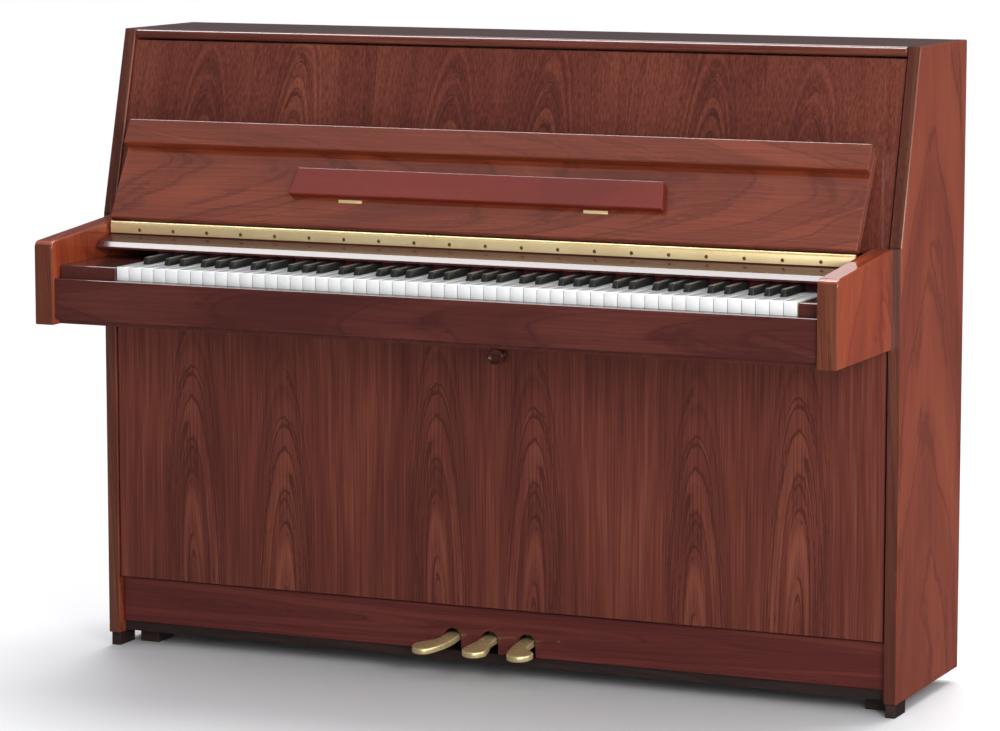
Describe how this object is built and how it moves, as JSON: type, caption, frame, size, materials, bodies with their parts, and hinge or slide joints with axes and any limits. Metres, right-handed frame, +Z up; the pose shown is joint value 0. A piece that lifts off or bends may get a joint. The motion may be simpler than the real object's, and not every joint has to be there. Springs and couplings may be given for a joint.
{
  "type": "upright piano",
  "caption": "Console upright piano in polished mahogany veneer, with a leaning open fallboard, folding music ledge, brass pedals, moving keys, tilting lower panel and a strung back.",
  "frame": {"origin": "middle of the piano's footprint on the floor", "axes": "+X along the keyboard towards the treble, +Y from the player towards the back, +Z up"},
  "size_m": [1.48, 0.6, 1.1],
  "materials": {
    "veneer_upright": "reddish-brown flat-cut mahogany veneer, grain upright, clear gloss polish",
    "veneer_level": "reddish-brown mahogany veneer, grain along the board, clear gloss polish",
    "fallboard_veneer": "lighter orange-brown mahogany veneer, grain along the board, clear gloss polish",
    "ledge_stain": "plain red-brown stained wood, clear gloss polish",
    "dark_board": "dark brown stain, satin",
    "frame_wood": "plain beech, matt",
    "spruce": "straight-grained spruce, satin varnish",
    "red_felt": "dark red felt",
    "white_felt": "pressed white wool felt",
    "brass": "polished brass",
    "steel": "bright steel",
    "copper": "copper winding on steel wire",
    "plate_iron": "cast iron, gold paint",
    "white_key": "ivory-white acrylic, glossy",
    "black_key": "black phenolic, satin"
  },
  "bodies": {
    "cabinet": {"side_panel_left": "veneer_upright", "side_panel_right": "veneer_upright", "upper_panel": "veneer_upright", "arm_left": "veneer_level", "arm_right": "veneer_level", "key_slip": "veneer_level", "key_block_left": "veneer_level", "key_block_right": "veneer_level", "name_rail": "veneer_level", "toe_rail": "veneer_level", "lid_rear_rail": "veneer_level", "keybed": "dark_board", "bottom_board": "dark_board", "corner_feet": "dark_board", "key_frame": "frame_wood", "back_frame": "frame_wood", "soundboard": "spruce", "soundboard_ribs": "spruce", "bridges": "frame_wood", "name_rail_felt": "red_felt", "hammers": "white_felt", "dampers": "white_felt", "fallboard_hinge": "brass", "hinge_screws": "brass", "lid_hinge": "brass", "pedal_bracket": "steel", "trap_blocks": "steel", "tuning_pins": "steel", "treble_strings": "steel", "bass_strings": "copper", "iron_plate": "plate_iron", "action_brackets": "plate_iron", "action_rails": "frame_wood", "white_keys": "white_key", "black_keys": "black_key"},
    "top_lid": {"top_lid": "veneer_level"},
    "fallboard": {"fallboard": "fallboard_veneer", "ledge_hinges": "brass"},
    "fallboard_flap": {"fallboard_flap": "fallboard_veneer"},
    "music_ledge": {"music_ledge": "ledge_stain"},
    "lower_panel": {"lower_panel": "veneer_upright", "panel_knob": "veneer_level"},
    "pedal_left": {"pedal_left": "brass"},
    "pedal_middle": {"pedal_middle": "brass"},
    "pedal_right": {"pedal_right": "brass"},
    "trap_lever_left": {"trap_lever_left": "frame_wood"},
    "trap_lever_middle": {"trap_lever_middle": "frame_wood"},
    "trap_lever_right": {"trap_lever_right": "frame_wood"},
    "key_c": {"key_c": "white_key"},
    "key_c_sharp": {"key_c_sharp": "black_key"},
    "key_d": {"key_d": "white_key"},
    "key_d_sharp": {"key_d_sharp": "black_key"},
    "key_e": {"key_e": "white_key"},
    "key_f": {"key_f": "white_key"},
    "key_f_sharp": {"key_f_sharp": "black_key"},
    "key_g": {"key_g": "white_key"},
    "key_g_sharp": {"key_g_sharp": "black_key"},
    "key_a": {"key_a": "white_key"},
    "key_a_sharp": {"key_a_sharp": "black_key"},
    "key_b": {"key_b": "white_key"}
  },
  "joints": [
    {"name": "lid_hinge", "type": "hinge", "parent": "cabinet", "child": "top_lid", "pos_m": [0, 0.263, 1.0973], "axis": [-1, 0, 0], "range_deg": [0, 100]},
    {"name": "fallboard_hinge", "type": "hinge", "parent": "cabinet", "child": "fallboard", "pos_m": [0, -0.101, 0.77], "axis": [1, 0, 0], "range_deg": [0, 124.9]},
    {"name": "flap_hinge", "type": "hinge", "parent": "fallboard", "child": "fallboard_flap", "pos_m": [0, -0.01764, 0.93088], "axis": [-1, 0, 0], "range_deg": [0, 95]},
    {"name": "ledge_hinge", "type": "hinge", "parent": "fallboard", "child": "music_ledge", "pos_m": [0, -0.08166, 0.8228], "axis": [-1, 0, 0], "range_deg": [-85, 0]},
    {"name": "lower_panel_tilt", "type": "hinge", "parent": "cabinet", "child": "lower_panel", "pos_m": [0, -0.032, 0.127], "axis": [1, 0, 0], "range_deg": [0, 20]},
    {"name": "pedal_left_press", "type": "hinge", "parent": "cabinet", "child": "pedal_left", "pos_m": [-0.07, 0.09, 0.067], "axis": [1, 0, 0], "range_deg": [0, 6], "stiffness_Nm_per_rad": 20, "springref_deg": -8.59},
    {"name": "pedal_middle_press", "type": "hinge", "parent": "cabinet", "child": "pedal_middle", "pos_m": [0, 0.09, 0.067], "axis": [1, 0, 0], "range_deg": [0, 6], "stiffness_Nm_per_rad": 20, "springref_deg": -8.59},
    {"name": "pedal_right_press", "type": "hinge", "parent": "cabinet", "child": "pedal_right", "pos_m": [0.07, 0.09, 0.067], "axis": [1, 0, 0], "range_deg": [0, 6], "stiffness_Nm_per_rad": 20, "springref_deg": -8.59},
    {"name": "trap_lever_left_rock", "type": "hinge", "parent": "cabinet", "child": "trap_lever_left", "pos_m": [-0.26, 0.122, 0.096], "axis": [0, -1, 0], "range_deg": [0, 1.4]},
    {"name": "trap_lever_middle_rock", "type": "hinge", "parent": "cabinet", "child": "trap_lever_middle", "pos_m": [-0.26, 0.16, 0.096], "axis": [0, -1, 0], "range_deg": [0, 1.4]},
    {"name": "trap_lever_right_rock", "type": "hinge", "parent": "cabinet", "child": "trap_lever_right", "pos_m": [0.26, 0.122, 0.096], "axis": [0, 1, 0], "range_deg": [0, 1.4]},
    {"name": "key_c_press", "type": "hinge", "parent": "cabinet", "child": "key_c", "pos_m": [-0.02343, -0.02, 0.691], "axis": [1, 0, 0], "range_deg": [0, 2.2], "stiffness_Nm_per_rad": 1, "springref_deg": -9.74},
    {"name": "key_c_sharp_press", "type": "hinge", "parent": "cabinet", "child": "key_c_sharp", "pos_m": [-0.01424, -0.02, 0.691], "axis": [1, 0, 0], "range_deg": [0, 2.2], "stiffness_Nm_per_rad": 1, "springref_deg": -9.74},
    {"name": "key_d_press", "type": "hinge", "parent": "cabinet", "child": "key_d", "pos_m": [0.00014, -0.02, 0.691], "axis": [1, 0, 0], "range_deg": [0, 2.2], "stiffness_Nm_per_rad": 1, "springref_deg": -9.74},
    {"name": "key_d_sharp_press", "type": "hinge", "parent": "cabinet", "child": "key_d_sharp", "pos_m": [0.01453, -0.02, 0.691], "axis": [1, 0, 0], "range_deg": [0, 2.2], "stiffness_Nm_per_rad": 1, "springref_deg": -9.74},
    {"name": "key_e_press", "type": "hinge", "parent": "cabinet", "child": "key_e", "pos_m": [0.02371, -0.02, 0.691], "axis": [1, 0, 0], "range_deg": [0, 2.2], "stiffness_Nm_per_rad": 1, "springref_deg": -9.74},
    {"name": "key_f_press", "type": "hinge", "parent": "cabinet", "child": "key_f", "pos_m": [0.04729, -0.02, 0.691], "axis": [1, 0, 0], "range_deg": [0, 2.2], "stiffness_Nm_per_rad": 1, "springref_deg": -9.74},
    {"name": "key_f_sharp_press", "type": "hinge", "parent": "cabinet", "child": "key_f_sharp", "pos_m": [0.05547, -0.02, 0.691], "axis": [1, 0, 0], "range_deg": [0, 2.2], "stiffness_Nm_per_rad": 1, "springref_deg": -9.74},
    {"name": "key_g_press", "type": "hinge", "parent": "cabinet", "child": "key_g", "pos_m": [0.07086, -0.02, 0.691], "axis": [1, 0, 0], "range_deg": [0, 2.2], "stiffness_Nm_per_rad": 1, "springref_deg": -9.74},
    {"name": "key_g_sharp_press", "type": "hinge", "parent": "cabinet", "child": "key_g_sharp", "pos_m": [0.08264, -0.02, 0.691], "axis": [1, 0, 0], "range_deg": [0, 2.2], "stiffness_Nm_per_rad": 1, "springref_deg": -9.74},
    {"name": "key_a_press", "type": "hinge", "parent": "cabinet", "child": "key_a", "pos_m": [0.09443, -0.02, 0.691], "axis": [1, 0, 0], "range_deg": [0, 2.2], "stiffness_Nm_per_rad": 1, "springref_deg": -9.74},
    {"name": "key_a_sharp_press", "type": "hinge", "parent": "cabinet", "child": "key_a_sharp", "pos_m": [0.10981, -0.02, 0.691], "axis": [1, 0, 0], "range_deg": [0, 2.2], "stiffness_Nm_per_rad": 1, "springref_deg": -9.74},
    {"name": "key_b_press", "type": "hinge", "parent": "cabinet", "child": "key_b", "pos_m": [0.118, -0.02, 0.691], "axis": [1, 0, 0], "range_deg": [0, 2.2], "stiffness_Nm_per_rad": 1, "springref_deg": -9.74}
  ],
  "couplings": [
    {"joint": "trap_lever_left_rock", "follows": "pedal_left_press", "ratio": 0.222},
    {"joint": "trap_lever_middle_rock", "follows": "pedal_middle_press", "ratio": 0.222},
    {"joint": "trap_lever_right_rock", "follows": "pedal_right_press", "ratio": 0.222}
  ]
}
